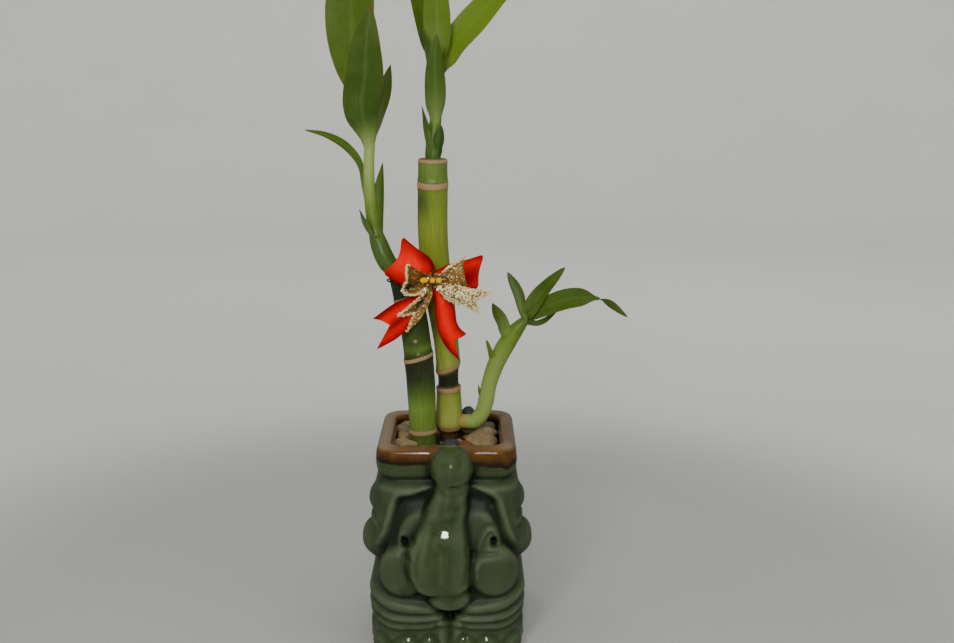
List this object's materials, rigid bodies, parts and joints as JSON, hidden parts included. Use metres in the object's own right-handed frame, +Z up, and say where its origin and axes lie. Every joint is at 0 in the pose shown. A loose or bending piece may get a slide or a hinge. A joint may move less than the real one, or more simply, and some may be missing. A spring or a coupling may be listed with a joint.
{
  "type": "potted lucky bamboo",
  "caption": "Cut bamboo canes with leafy shoots in pebbles in a glazed elephant pot, tied with ribbon bows, resting on a flat base.",
  "frame": {"origin": "middle of the pot's flat underside, on the surface it stands on", "axes": "+Z up along the canes, -Y towards the elephant's face and the bows, +X to the viewer's right"},
  "size_m": [0.1628, 0.0982, 0.3631],
  "materials": {
    "pot_glaze": "gloss",
    "pebbles": "matte",
    "left_cane_skin": "satin",
    "right_cane_skin": "satin",
    "leaf": "satin",
    "red_satin": "satin",
    "gold_ribbon": "metallic",
    "gold_wire": "polished"
  },
  "bodies": {
    "root": {"elephant_pot": "pot_glaze", "pebble_bed": "pebbles", "left_cane": "left_cane_skin", "right_cane": "right_cane_skin", "left_shoot": "leaf", "right_top_shoot": "leaf", "right_side_shoot": "leaf", "red_bow": "red_satin", "gold_bow": "gold_ribbon", "gold_tie": "gold_wire"}
  },
  "joints": []
}
